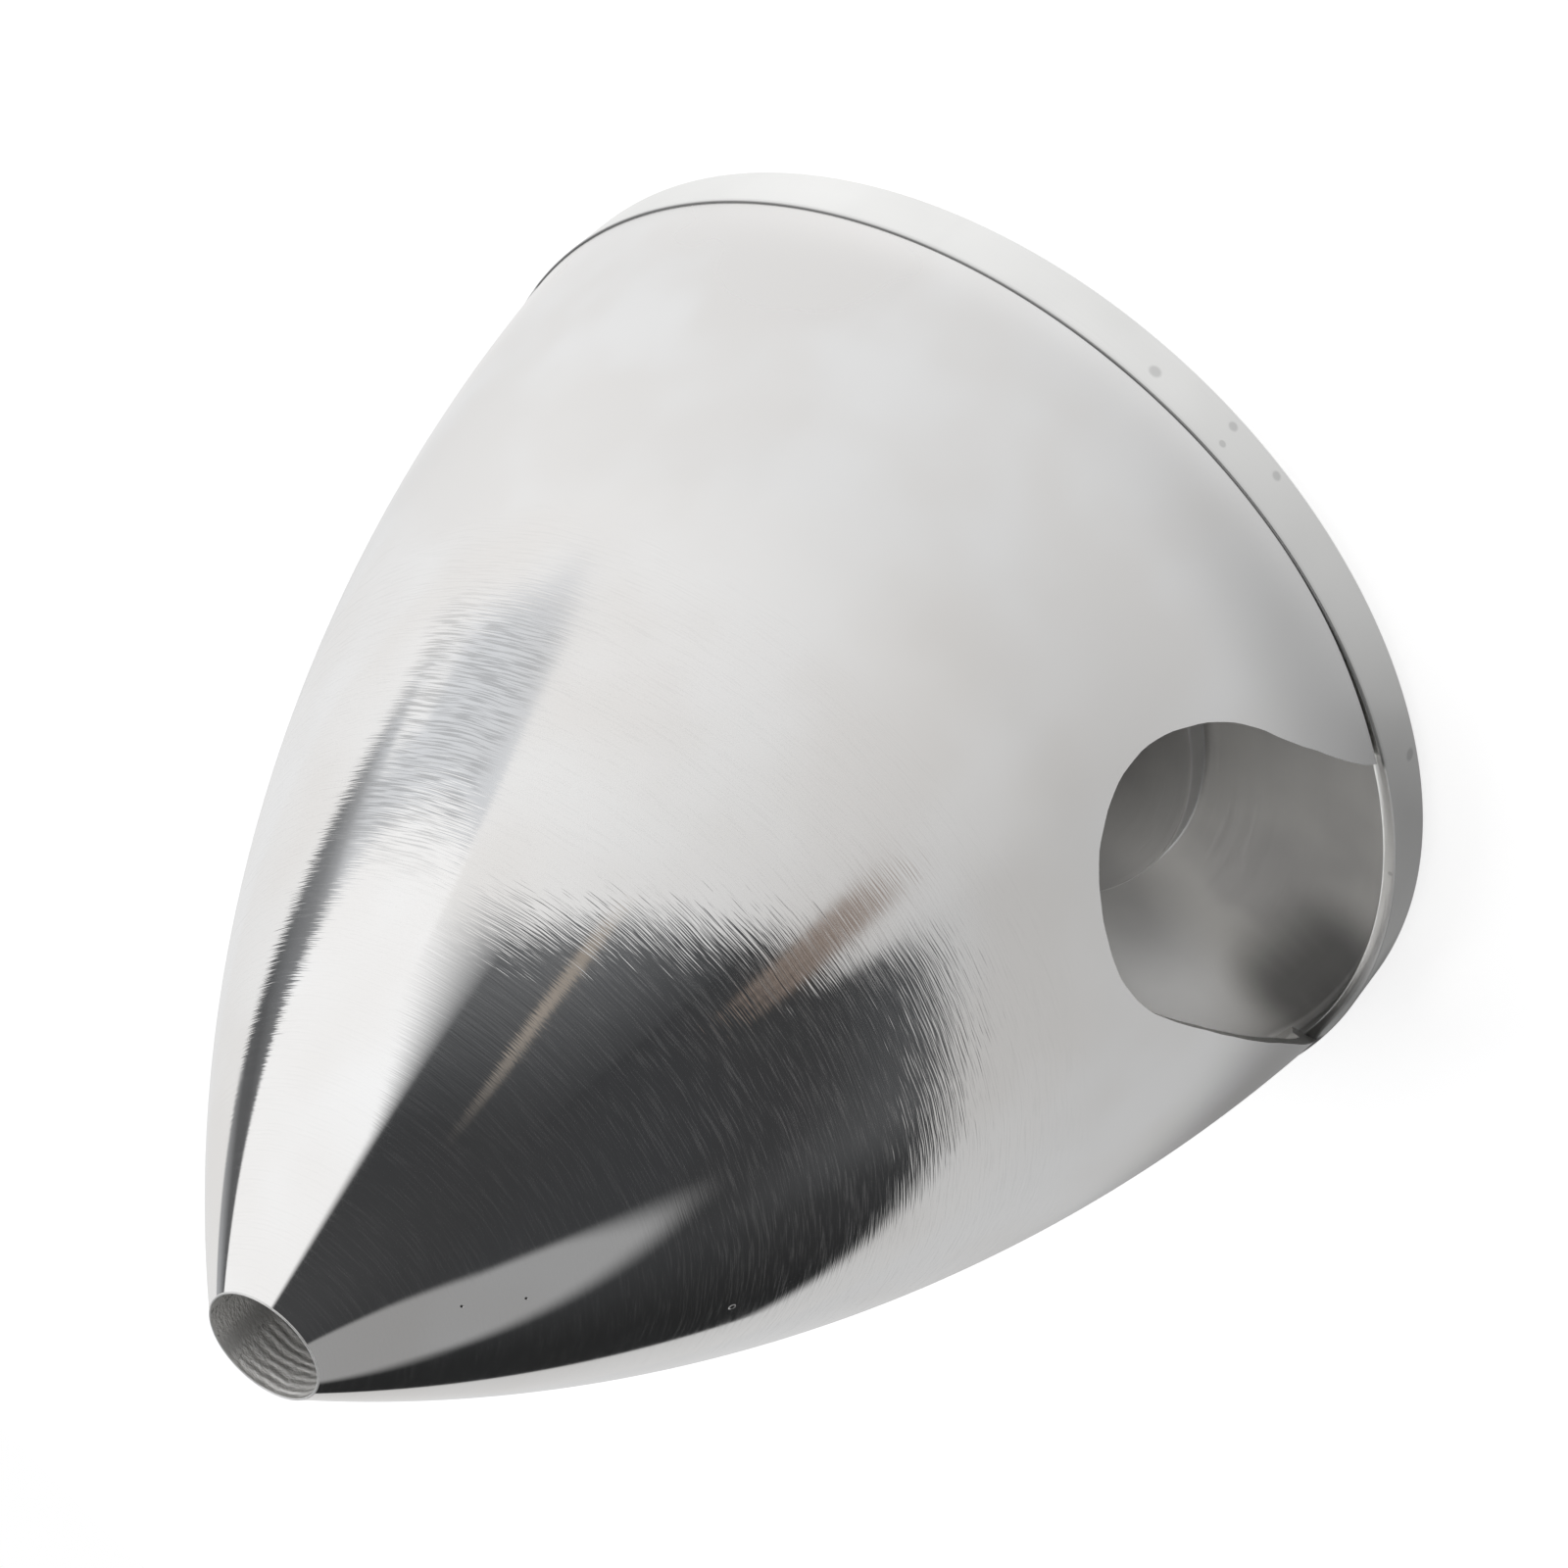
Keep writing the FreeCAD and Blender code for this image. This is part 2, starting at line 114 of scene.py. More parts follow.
# Pits and stains, as places and radii
SHELL_PITS = [((-8.6, -2.7, 61.2), 0.12), ((-10.9, -2.2, 58.5), 0.12), ((-17.1, 4.1, 48.3), 0.25)]
RIM_STAINS = [
    ((-14.1, -28.8, 2.1), 0.5), ((-18.6, -26.1, 0.9), 0.4), ((-18.8, -26.0, 2.4), 0.3),
    ((-21.5, -23.8, 0.8), 0.4), ((-31.2, -7.4, 0.9), 0.5), ((-31.8, -0.3, 3.5), 0.2),
]

# Painted patches on the floor of the recess, as places and radii: a painted dark reflection, a grey painted
# shade and a painted highlight
RECESS_PAINTED_DARK_REFLECTION = [
    ((-27.6, 10.8, 1.4), 6.0), ((-26.8, 12.0, 1.4), 6.2), ((-26.0, 13.2, 1.4), 6.2),
    ((-25.2, 14.4, 1.4), 6.0), ((-24.4, 15.6, 1.4), 5.5),
]
RECESS_PAINTED_SHADE = [((-13.1, 15.3, 1.4), 7.5)]
RECESS_PAINTED_HIGHLIGHT = [((-16.0, 20.3, 1.4), 9.0)]

# Part of the ledge that a cut-out leaves bare, measured across the blades' axis
BARE_LEDGE = (-8.4, 15.6)
# Heights between which the finish of the plate's rear face gives way to its front's
PLATE_FRONT = (0.4, 0.8)

# Finish of the shell: mirror above one height, satin below another
SATIN_HEIGHT = 8.0
MIRROR_HEIGHT = 47.0
MIRROR_ROUGHNESS = 0.045
SATIN_ROUGHNESS = 0.25
# Hairlines and scratches round the axis, and the heights over which they start and stop
HAIRLINE_SPACING = 0.13
HAIRLINE_LENGTH = 2.6
HAIRLINE_DEPTH = 0.0037
SCRATCH_SPACING = 0.32
SCRATCH_LENGTH = 4.5
SCRATCH_DEPTH = 0.0019
LINES_START = (20, 34)
LINES_STOP = (45, 60)
LINES_WOBBLE = 0.3
# Light hairs over the polish
HAIR_SPACING = 0.12
HAIR_LENGTH = 2.4
HAIR_ROUGHNESS = 0.05
HAIR_DULLNESS = 0.10
HAIRS_START = (24, 36)
HAIRS_STOP = (42, 56)
# Part of the shell that is scuffed most. Its side edges are cosines of the angle from its middle.
SCUFF_AZIMUTH = math.radians(289)
SCUFF_SIDES = (0.974, 0.990)
SCUFF_LOW = 33.5
SCUFF_HIGH = 47.0
SCUFF_SPACING = 0.12
SCUFF_DARKNESS = 0.65

# Colours
PALE_POLISH = (0.90, 0.90, 0.90)
GREY_POLISH = (0.86, 0.85, 0.84)
PALE_PLATE = (0.90, 0.90, 0.89)
GREY_PLATE = (0.85, 0.85, 0.84)
DARK_RECESS = (0.56, 0.55, 0.54)
PALE_RECESS = (0.66, 0.65, 0.63)
PIT = 0.05
# Painted shade in the seam round the cone's foot
SEAM_SHADE_GREY = 0.06

# How finely the meshes are made
CONE_SEGMENTS = 360
PLATE_SEGMENTS = 360
OUTSIDE_ROWS = 80
INSIDE_ROWS = 36
BORE_ROWS = 8
EDGE_ROWS = 4
SLOT_SIDE_POINTS = 24
SLOT_END_POINTS = 48

# Camera, with angles in degrees round the axis, above the floor and round the line of sight
CAMERA_AIM = (-3.04, -7.36, 22.73)
CAMERA_AZIMUTH = 239.81
CAMERA_ELEVATION = 35.37
CAMERA_ROLL = -135.74
CAMERA_DISTANCE = 396.5
SENSOR_WIDTH = 36.0
FOCAL_LENGTH_IN_FRAMES = 7150 / 1600

# Studio light. Azimuths count from the camera's side and elevations from the level, in degrees.
LIGHT_AZIMUTH = 240.0
# Upper edge of the white table: azimuth, elevation
TABLE_EDGE = [
    (-180, 4), (-160, 2), (-150, -2), (-141, -8), (-138, -10.6), (-123, -7.7), (-110, -5.4), (-99, -3.3),
    (-87, -0.7), (-76, 1.1), (-64, 2.9), (-51, 4.2), (-43, 7.0), (-41.3, 11.0), (-22, 15.0), (-9, 18.7),
    (6, 21.2), (23, 23.2), (34, 24.0), (45, 22.5), (63.5, 19.4), (66, 10.9), (68.7, 3.4), (71, -0.5),
    (77.5, -5.8), (82, -4.4), (92, -4.8), (103, -5.5), (110, -3.2), (122, -0.8), (136, -1.0), (180, 4),
]
# Brightness of the table, and how much the object darkens it close by: azimuth, level
TABLE_LIGHT = [
    (-180, 0.76), (-140, 0.60), (-100, 0.57), (-75, 0.56), (-44, 0.55), (-41, 0.60), (0, 0.735), (45, 0.86),
    (92, 0.94), (130, 0.88), (180, 0.76),
]
CONTACT_SHADE = [
    (-180, 0.45), (-144, 0.68), (-112, 0.70), (-80, 0.45), (-45, 0.33), (-27, 0.29), (-12, 0.16), (3, 0.06),
    (30, 0.0), (120, 0.0), (150, 0.15), (180, 0.45),
]
# Brightness right beside the rim, as a share of the table's: azimuth, share
RIM_LIGHT = [
    (-180, 0.60), (-72, 0.50), (-56, 0.45), (-48, 0.54), (-40, 0.70), (-24, 0.90), (-8, 1.05), (0, 1.09),
    (40, 1.22), (56, 1.14), (72, 1.06), (120, 0.95), (180, 0.60),
]
# Lower edge of the large lamp, and the light between it and the table
LAMP_FOOT = [
    (60, 17), (66, 15), (72, 12), (80, 9), (90, 6.6), (100, 6.2), (117, 7.5), (126, 10), (136, 14), (150, 17),
]
GAP_LIGHT = [
    (62, 0.70), (95, 0.74), (103, 0.71), (106, 0.57), (109, 0.35), (113, 0.23), (118, 0.18), (126, 0.10),
    (132, 0.11), (140, 0.35), (150, 0.45),
]
LAMP_LEVEL = 1.0
# Right edge of the dim lamp: elevation, azimuth
DIM_LAMP_EDGE = [(14, -86), (17, -80), (20, -77), (26, -72.5), (32, -70), (40, -63), (46, -59), (70, -55)]
DIM_LAMP_LEVEL = 0.33
# The dark room: its colours, and the elevations over which it turns lighter
ROOM = (0.040, 0.041, 0.043)
ROOM_FAR_LEFT = (0.018, 0.0185, 0.019)
ROOM_TOP = (0.055, 0.056, 0.058)
ROOM_TOP_START = (38, 60)
ROOM_HAZE = (0.156, 0.160, 0.165)
ROOM_LOW_HAZE = (0.083, 0.085, 0.088)
# Middle of a warm streak: elevation, azimuth. Then its colour and the tint of a warm patch.
STREAK_LINE = [(18, 18), (24, 14.2), (29.6, 12.2), (33, 9.5), (38, 6), (44, 2)]
STREAK = (0.33, 0.29, 0.25)
PATCH_TINT = (1.17, 0.95, 0.82)
OVERHEAD_START = (61, 66)
OVERHEAD_LEVEL = 1.1
# Floor, in metres
FLOOR_RADIUS = 0.16
FLOOR_POINTS = 96
FLOOR_GREY = 0.8
FLOOR_CAMERA_GLOW = 0.66
# How near the part the floor is darkened, and how near the rim it follows RIM_LIGHT
CONTACT_REACH = (42, 62)
RIM_REACH = (36, 43)
# Lamp inside the cone
INNER_LAMP_POWER = 0.0021
INNER_LAMP_RADIUS = 0.004
INNER_LAMP_PLACE = (-14.5, 18.0, 17.0)

# Where the Mix node keeps the sockets for colours
MIX_COLOUR_A = 6
MIX_COLOUR_B = 7
MIX_COLOUR_RESULT = 2


class Socket:
    """A node's output that takes part in Python expressions."""

    def __init__(self, graph, output):
        self.graph = graph
        self.output = output

    def __add__(self, other):
        return self.graph.math("ADD", self, other)

    def __radd__(self, other):
        return self.graph.math("ADD", other, self)

    def __sub__(self, other):
        return self.graph.math("SUBTRACT", self, other)

    def __rsub__(self, other):
        return self.graph.math("SUBTRACT", other, self)

    def __mul__(self, other):
        return self.graph.math("MULTIPLY", self, other)

    def __rmul__(self, other):
        return self.graph.math("MULTIPLY", other, self)

    def __truediv__(self, other):
        return self.graph.math("DIVIDE", self, other)


class Graph:
    """The node tree of one material, or of the world."""

    def __init__(self, tree):
        self.tree = tree
        tree.nodes.clear()

    def raw(self, kind, settings=None, inputs=None):
        """Adds a node, sets it up, then gives its sockets values or links."""
        node = self.tree.nodes.new(kind)
        for name, setting in (settings or {}).items():
            if name == "ramp":
                fill_ramp(node.color_ramp, setting)
            else:
                setattr(node, name, setting)
        for name, value in (inputs or {}).items():
            if isinstance(value, Socket):
                self.tree.links.new(value.output, node.inputs[name])
            else:
                node.inputs[name].default_value = value
        return node

    def node(self, kind, settings=None, inputs=None, output=0):
        """Adds a node and gives back one of its outputs."""
        return Socket(self, self.raw(kind, settings, inputs).outputs[output])

    def math(self, operation, *values):
        return self.node("ShaderNodeMath", {"operation": operation}, dict(enumerate(values)))

    def step(self, value, low, high):
        """Smooth 0 to 1 as value goes from low to high."""
        return self.node(
            "ShaderNodeMapRange",
            {"interpolation_type": "SMOOTHSTEP"},
            {"Value": value, "From Min": low, "From Max": high},
        )

    def between(self, value, low, high, edge):
        """1 where value lies between low and high, with soft edges."""
        return self.step(value, low - edge, low + edge) * (1 - self.step(value, high - edge, high + edge))

    def curve(self, value, points):
        """Number read from a list of (value, number) points, straight between them."""
        low, high = points[0][0], points[-1][0]
        least = min(number for _, number in points)
        span = max(number for _, number in points) - least
        stops = [((at - low) / (high - low), (number - least) / span) for at, number in points]
        place = (value - low) / (high - low)
        return self.node("ShaderNodeValToRGB", {"ramp": stops}, {0: place}) * span + least

    def mix(self, factor, first, second):
        """Colour from first to second."""
        inputs = {0: factor, MIX_COLOUR_A: rgba(first), MIX_COLOUR_B: rgba(second)}
        return self.node("ShaderNodeMix", {"data_type": "RGBA"}, inputs, MIX_COLOUR_RESULT)

    def vector(self, operation, first, second):
        return self.node("ShaderNodeVectorMath", {"operation": operation}, {0: first, 1: second})

    def place(self):
        """Position on the object, in millimetres."""
        metres = self.node("ShaderNodeTexCoord", output="Object")
        return self.vector("MULTIPLY", metres, (1 / MM, 1 / MM, 1 / MM))

    def split(self, vector):
        """The x, y and z of a vector."""
        node = self.raw("ShaderNodeSeparateXYZ", inputs={"Vector": vector})
        return [Socket(self, output) for output in node.outputs]

    def noise(self, vector, scale, detail=2.0, roughness=0.5):
        inputs = {"Vector": vector, "Scale": scale, "Detail": detail, "Roughness": roughness}
        return self.node("ShaderNodeTexNoise", inputs=inputs)

    def bump(self, height):
        """Normal of a relief whose height is in millimetres."""
        return self.node("ShaderNodeBump", inputs={"Height": height, "Distance": MM})

    def background(self, colour):
        """Light of one colour from a part of the sky."""
        return self.node("ShaderNodeBackground", inputs={"Color": rgba(colour)})

    def lay(self, factor, first, second):
        """The first shader where the factor is 0, and the second where it is 1."""
        return self.node("ShaderNodeMixShader", inputs={0: factor, 1: first, 2: second})


def fill_ramp(ramp, stops):
    """Gives a colour ramp its stops, as (position, grey)."""
    while len(ramp.elements) < len(stops):
        ramp.elements.new(1.0)
    for element, (position, grey) in zip(ramp.elements, stops):
        element.position = position
        element.color = rgba(grey)


def rgba(colour):
    """A colour written as a grey number, three numbers, or a link."""
    if isinstance(colour, (int, float)):
        return (colour, colour, colour, 1.0)
    if isinstance(colour, tuple) and len(colour) == 3:
        return colour + (1.0,)
    return colour


def new_material(name):
    """An empty material and its graph."""
    material = bpy.data.materials.new(name)
    material.use_nodes = True
    return material, Graph(material.node_tree)


def metal(graph, colour, roughness, metallic=1.0, anisotropic=0.0, normal=None):
    """Puts a metal surface on the material's output."""
    inputs = {
        "Base Color": rgba(colour),
        "Metallic": metallic,
        "Roughness": roughness,
        "Anisotropic": anisotropic,
    }
    if normal is not None:
        inputs["Normal"] = normal
    surface = graph.node("ShaderNodeBsdfPrincipled", inputs=inputs)
    graph.raw("ShaderNodeOutputMaterial", inputs={"Surface": surface})


def from_axis(graph, x, y):
    """Distance from the axis."""
    return graph.math("SQRT", x * x + y * y)


def along_profile(graph, place, wobble=0.0):
    """Height less radius: even round the axis, and growing along the outside from base to nose."""
    x, y, z = graph.split(place)
    across = z - from_axis(graph, x, y)
    if wobble:
        across = across + graph.noise(place, 0.3, detail=0.0) * wobble
    return across


def turned_lines(graph, place, across, spacing, length, detail=1.0):
    """Noise drawn out round the axis: fine lines of one spacing and length, in millimetres."""
    x, y, z = graph.split(place)
    inputs = {0: x / length, 1: y / length, 2: across / spacing}
    return graph.noise(graph.node("ShaderNodeCombineXYZ", inputs=inputs), 1.0, detail=detail)


def spots(graph, place, marks, core=0.5):
    """1 on small round marks, given as places and radii in millimetres, that fade from their cores."""
    total = None
    for centre, radius in marks:
        away = graph.node("ShaderNodeVectorMath", {"operation": "DISTANCE"}, {0: place, 1: centre}, "Value")
        spot = 1 - graph.step(away, radius * core, radius)
        total = spot if total is None else graph.math("MAXIMUM", total, spot)
    return total


def shell_relief(graph, place, across):
    """Hairlines and scratches in the polish. On one side they reach further up than on the other."""
    x, y, height = graph.split(place)
    fine = turned_lines(graph, place, across, HAIRLINE_SPACING, HAIRLINE_LENGTH)
    coarse = turned_lines(graph, place, across, SCRATCH_SPACING, SCRATCH_LENGTH)
    lined = 1.05 - graph.step(height - (x - y) * 0.5, *LINES_STOP)
    lined = lined * (0.2 + graph.step(height, *LINES_START) * 0.8)
    return (fine * HAIRLINE_DEPTH + coarse * SCRATCH_DEPTH) * lined


def shell_hairs(graph, place, across):
    """1 on light hairs over the upper part of the shell, fewer of them at the nose."""
    height = graph.split(place)[2]
    hairs = graph.step(turned_lines(graph, place, across, HAIR_SPACING, HAIR_LENGTH), 0.48, 0.72)
    return hairs * graph.step(height, *HAIRS_START) * (1 - graph.step(height, *HAIRS_STOP) * 0.75)


def shell_scuffs(graph, place, across):
    """1 on short strokes where the shell is scuffed most, halfway up one side."""
    x, y, height = graph.split(place)
    towards = x * math.cos(SCUFF_AZIMUTH) + y * math.sin(SCUFF_AZIMUTH)
    part = graph.step(towards / from_axis(graph, x, y), *SCUFF_SIDES)
    part = part * graph.between(height, SCUFF_LOW, SCUFF_HIGH, 2.5)
    return graph.step(turned_lines(graph, place, across, SCUFF_SPACING, HAIR_LENGTH), 0.44, 0.62) * part


def polished_shell():
    """Mirror polish at the nose that turns satin towards the base, with hairlines round the axis."""
    material, graph = new_material("polished_shell")
    place = graph.place()
    height = graph.split(place)[2]
    across = along_profile(graph, place, LINES_WOBBLE)
    satin = 1 - graph.step(height, SATIN_HEIGHT, MIRROR_HEIGHT)
    hairs = shell_hairs(graph, place, across)
    clouds = graph.noise(place, 0.09, detail=2.0)
    pits = spots(graph, place, SHELL_PITS)

    colour = graph.mix(graph.step(clouds, 0.35, 0.65), PALE_POLISH, GREY_POLISH)
    colour = graph.mix(shell_scuffs(graph, place, across) * SCUFF_DARKNESS, colour, 0.50)
    colour = graph.mix(pits, colour, PIT)
    roughness = MIRROR_ROUGHNESS + satin * (SATIN_ROUGHNESS - MIRROR_ROUGHNESS + clouds * 0.04)
    roughness = roughness + hairs * HAIR_ROUGHNESS + pits * 0.4
    metallic = 1 - hairs * HAIR_DULLNESS - clouds * 0.02
    normal = graph.bump(shell_relief(graph, place, across) - pits * 0.06)
    metal(graph, colour, roughness, metallic=metallic, anisotropic=0.9, normal=normal)
    return material


def painted_seam_shade(graph, x, y, z, radius):
    """1 in the seam round the cone's foot, where its shade is painted, but not where a cut-out leaves the
    ledge bare.
    """
    seam = graph.between(radius, BASE_RADIUS - 0.03, BASE_RADIUS + 0.12, 0.05)
    seam = seam * graph.step(z, LEDGE - 0.3, LEDGE - 0.1)
    return seam * (1 - graph.between(graph.math("SIGN", x) * y * -1, *BARE_LEDGE, 0.3))


def recess_painted_light(graph, place, radius, colour, front):
    """The colour with painted light and shade in the recess, all on the plate's front: painted shade on the
    pad, painted light on the pad's side, a painted highlight, a painted shade and a painted dark reflection.
    """
    # Painted shade on the pad, and painted light on the pad's side wall
    pad = (1 - graph.step(radius, PAD_RADIUS - 0.18, PAD_RADIUS - 0.06)) * front
    pad_side_painted_light = graph.between(radius, PAD_RADIUS - 0.10, PAD_RADIUS + 0.1, 0.05) * front
    colour = graph.mix(pad_side_painted_light, colour, 0.9)
    colour = graph.mix(pad * 0.36, colour, 0.12)
    # A painted highlight, a painted shade and a painted dark reflection on the floor of the recess
    colour = graph.mix(spots(graph, place, RECESS_PAINTED_HIGHLIGHT, core=0.1) * front, colour, 0.98)
    colour = graph.mix(spots(graph, place, RECESS_PAINTED_SHADE, core=0.1) * front * 0.45, colour, 0.12)
    return graph.mix(spots(graph, place, RECESS_PAINTED_DARK_REFLECTION, core=0.1) * front * 0.80, colour, 0.10)


def turned_plate():
    """Satin face left by the lathe, dull in the recess, with stains on the rim, painted light and shade in
    the recess and painted shade in the seam.
    """
    material, graph = new_material("turned_plate")
    place = graph.place()
    x, y, z = graph.split(place)
    radius = from_axis(graph, x, y)
    rings = turned_lines(graph, place, along_profile(graph, place), 0.22, 9.0)
    clouds = graph.noise(place, 0.12, detail=2.0)
    front = graph.step(z, *PLATE_FRONT)
    inside = (1 - graph.step(radius, RECESS_RADIUS - 0.25, RECESS_RADIUS - 0.05)) * front

    satin = graph.mix(graph.step(clouds, 0.3, 0.7), PALE_PLATE, GREY_PLATE)
    dull = graph.mix(graph.step(clouds, 0.35, 0.65), DARK_RECESS, PALE_RECESS)
    # Painted light and shade in the recess
    colour = recess_painted_light(graph, place, radius, graph.mix(inside, satin, dull), front)
    colour = graph.mix(spots(graph, place, RIM_STAINS) * 0.35, colour, 0.3)
    # Painted shade in the seam round the cone's foot, but not where a cut-out leaves the ledge bare
    colour = graph.mix(painted_seam_shade(graph, x, y, z, radius) * 0.8, colour, SEAM_SHADE_GREY)
    roughness = 0.30 + rings * 0.08 + inside * 0.20
    normal = graph.bump(rings * 0.010)
    metal(graph, colour, roughness, metallic=1 - inside * 0.7, anisotropic=0.5, normal=normal)
    return material


def turned_inside():
    """Dull turned metal inside the cone."""
    material, graph = new_material("turned_inside")
    place = graph.place()
    rings = turned_lines(graph, place, along_profile(graph, place), 0.35, 12.0)
    clouds = graph.noise(place, 0.1, detail=2.0)
    colour = graph.mix(graph.step(clouds, 0.3, 0.7), (0.80, 0.79, 0.77), (0.70, 0.69, 0.67))
    metal(graph, colour, 0.45 + rings * 0.1, normal=graph.bump(rings * 0.02))
    return material


def rough_bore():
    """Wall of the nose bore: tool rings on one side, torn and pitted metal on the other, smooth between and
    painted darker there as a painted dark reflection.
    """
    material, graph = new_material("rough_bore")
    place = graph.place()
    x, y, z = graph.split(place)
    towards = (x * math.cos(GROOVE_AZIMUTH) + y * math.sin(GROOVE_AZIMUTH)) / NOSE_BORE_RADIUS
    ringed = graph.step(towards, 0.50, 0.80)
    uneven = graph.noise(place, 0.8, detail=1.0)
    rings = graph.math("SINE", (z + uneven * 0.4) * (2 * math.pi / GROOVE_PITCH))
    torn = graph.noise(graph.vector("MULTIPLY", place, (1.0, 1.0, 1.6)), 3.2, detail=2.0)
    pits = graph.step(graph.noise(place, 3.4, detail=2.0), 0.62, 0.70)
    smooth = graph.between(towards, 0.20, 0.52, 0.14)
    colour = graph.mix(uneven, (0.96, 0.95, 0.93), (0.84, 0.83, 0.81))
    colour = graph.mix(pits * (1 - ringed) * (1 - smooth) * 0.7, colour, 0.12)
    # Painted dark reflection: the smooth band is painted darker
    colour = graph.mix(smooth * 0.5, colour, 0.45)
    relief = rings * ringed * (uneven * 1.6) * GROOVE_DEPTH
    relief = relief + torn * (1 - smooth * 0.8) * TORN_DEPTH
    metal(graph, colour, 0.28, metallic=0.3, normal=graph.bump(relief))
    return material


def worn_lip():
    """Bright rounded lip round the mouth of the nose bore."""
    material, graph = new_material("worn_lip")
    worn = graph.noise(graph.place(), 1.5, detail=1.0)
    metal(graph, graph.mix(worn, (0.95, 0.95, 0.94), (0.70, 0.70, 0.69)), 0.3, metallic=0.6)
    return material


def filed_edge():
    """Sawn and filed metal on the walls of the cut-outs."""
    material, graph = new_material("filed_edge")
    place = graph.place()
    marks = graph.noise(graph.vector("MULTIPLY", place, (5.0, 1.5, 1.5)), 1.0, detail=2.0)
    colour = graph.mix(graph.noise(place, 0.5), (0.80, 0.80, 0.79), (0.55, 0.55, 0.54))
    metal(graph, colour, 0.38, normal=graph.bump(marks * 0.04))
    return material


def plain_steel(name, colour, roughness):
    """Turned steel or aluminium of a hidden piece."""
    material, graph = new_material(name)
    place = graph.place()
    rings = turned_lines(graph, place, along_profile(graph, place), 0.3, 6.0)
    worn = tuple(0.8 * part for part in colour)
    metal(graph, graph.mix(rings, colour, worn), roughness, anisotropic=0.4, normal=graph.bump(rings * 0.01))
    return material


def side_arc():
    """Centre of the arc that makes the cone's side, as radius and height."""
    base = Vector((BASE_RADIUS, LEDGE))
    tip = Vector((NOSE_BORE_RADIUS + NOSE_LAND, TIP))
    chord = tip - base
    inward = Vector((-chord.y, chord.x)).normalized()
    return (base + tip) / 2 + inward * math.sqrt(SIDE_ARC_RADIUS ** 2 - (chord.length / 2) ** 2)


def arc(centre, radius, start, end, count):
    """Points along an arc between two heights or two angles in degrees."""
    points = []
    for k in range(count + 1):
        angle = math.radians(start + (end - start) * k / count)
        points.append((centre[0] + radius * math.cos(angle), centre[1] + radius * math.sin(angle)))
    return points


def arc_angle(centre, radius, height):
    """Angle at which an arc round a centre reaches a height."""
    return math.degrees(math.asin((height - centre[1]) / radius))


def cone_section():
    """Closed half section of the cone, from the base's outer edge up the outside and down the inside."""
    centre = side_arc()
    inner = SIDE_ARC_RADIUS - SHELL_WALL
    start = arc_angle(centre, SIDE_ARC_RADIUS, LEDGE)
    end = arc_angle(centre, SIDE_ARC_RADIUS, TIP - 1.3 * LIP)
    section = arc(centre, SIDE_ARC_RADIUS, start, end, OUTSIDE_ROWS)
    section += arc((NOSE_BORE_RADIUS + LIP, TIP - LIP), LIP, -10, 180, EDGE_ROWS * 2)
    seat = TIP - SEAT_DEPTH
    cavity = seat - SEAT_THICKNESS
    for k in range(1, BORE_ROWS + 1):
        section.append((NOSE_BORE_RADIUS, TIP - LIP - (SEAT_DEPTH - LIP) * k / BORE_ROWS))
    section.append((SEAT_HOLE_RADIUS, seat))
    section.append((SEAT_HOLE_RADIUS, cavity))
    start = arc_angle(centre, inner, cavity)
    end = arc_angle(centre, inner, LEDGE + RING_RISE)
    section += arc(centre, inner, start, end, INSIDE_ROWS)
    section.append((RING_INSIDE, LEDGE + RING_RISE - RING_BEVEL))
    section.append((RING_INSIDE, LEDGE - RING_DEPTH))
    section.append((RING_OUTSIDE, LEDGE - RING_DEPTH))
    section.append((RING_OUTSIDE, LEDGE))
    return section


def plate_section():
    """Closed half section of the backplate, with its edges broken as a lathe hand leaves them."""
    web = LEDGE - RECESS_DEPTH
    pad = LEDGE - PAD_DROP
    section = [(PLATE_BORE_RADIUS, 0.0)]
    section += arc((RIM_RADIUS - RIM_TAPER - REAR_EDGE, REAR_EDGE), REAR_EDGE, -90, 0, EDGE_ROWS)
    section += arc((RIM_RADIUS - FRONT_EDGE, LEDGE - FRONT_EDGE), FRONT_EDGE, 0, 90, EDGE_ROWS)
    section += arc((RECESS_RADIUS + FRONT_EDGE, LEDGE - FRONT_EDGE), FRONT_EDGE, 90, 180, EDGE_ROWS)
    foot = arc((RECESS_RADIUS - RECESS_ROUND, web + RECESS_ROUND), RECESS_ROUND, 0, -90, EDGE_ROWS * 2)
    section += foot
    section.append((PAD_RADIUS, web))
    section += arc((PAD_RADIUS - PAD_EDGE, pad - PAD_EDGE), PAD_EDGE, 0, 90, EDGE_ROWS * 2)
    section.append((PLATE_BORE_RADIUS, pad))
    return section


def turn(name, section, segments):
    """Mesh object made by turning a closed section round the axis."""
    points = []
    for k in range(segments):
        angle = 2 * math.pi * k / segments
        for radius, height in section:
            points.append((radius * math.cos(angle) * MM, radius * math.sin(angle) * MM, height * MM))
    rows = len(section)
    faces = []
    for k in range(segments):
        following = (k + 1) % segments
        for i in range(rows):
            above = (i + 1) % rows
            faces.append((k * rows + i, following * rows + i, following * rows + above, k * rows + above))
    return new_piece(name, points, faces)


def new_piece(name, points, faces):
    """Mesh object from points and faces, in the scene."""
    mesh = bpy.data.meshes.new(name)
    mesh.from_pydata(points, [], faces)
    mesh.validate()
    piece = bpy.data.objects.new(name, mesh)
    bpy.context.scene.collection.objects.link(piece)
    return piece


def filed_offset(along):
    """How far the file left a cut-out's edge outside its drawn line, along that line in millimetres."""
    offset = FILE_WAVE * math.sin(along * 1.7) + FILE_WAVE * math.sin(along * 3.1 + 1.0)
    for place, depth in FILE_STROKES:
        offset += depth * math.exp(-(((along - place) / FILE_STROKE_WIDTH) ** 2))
    return offset


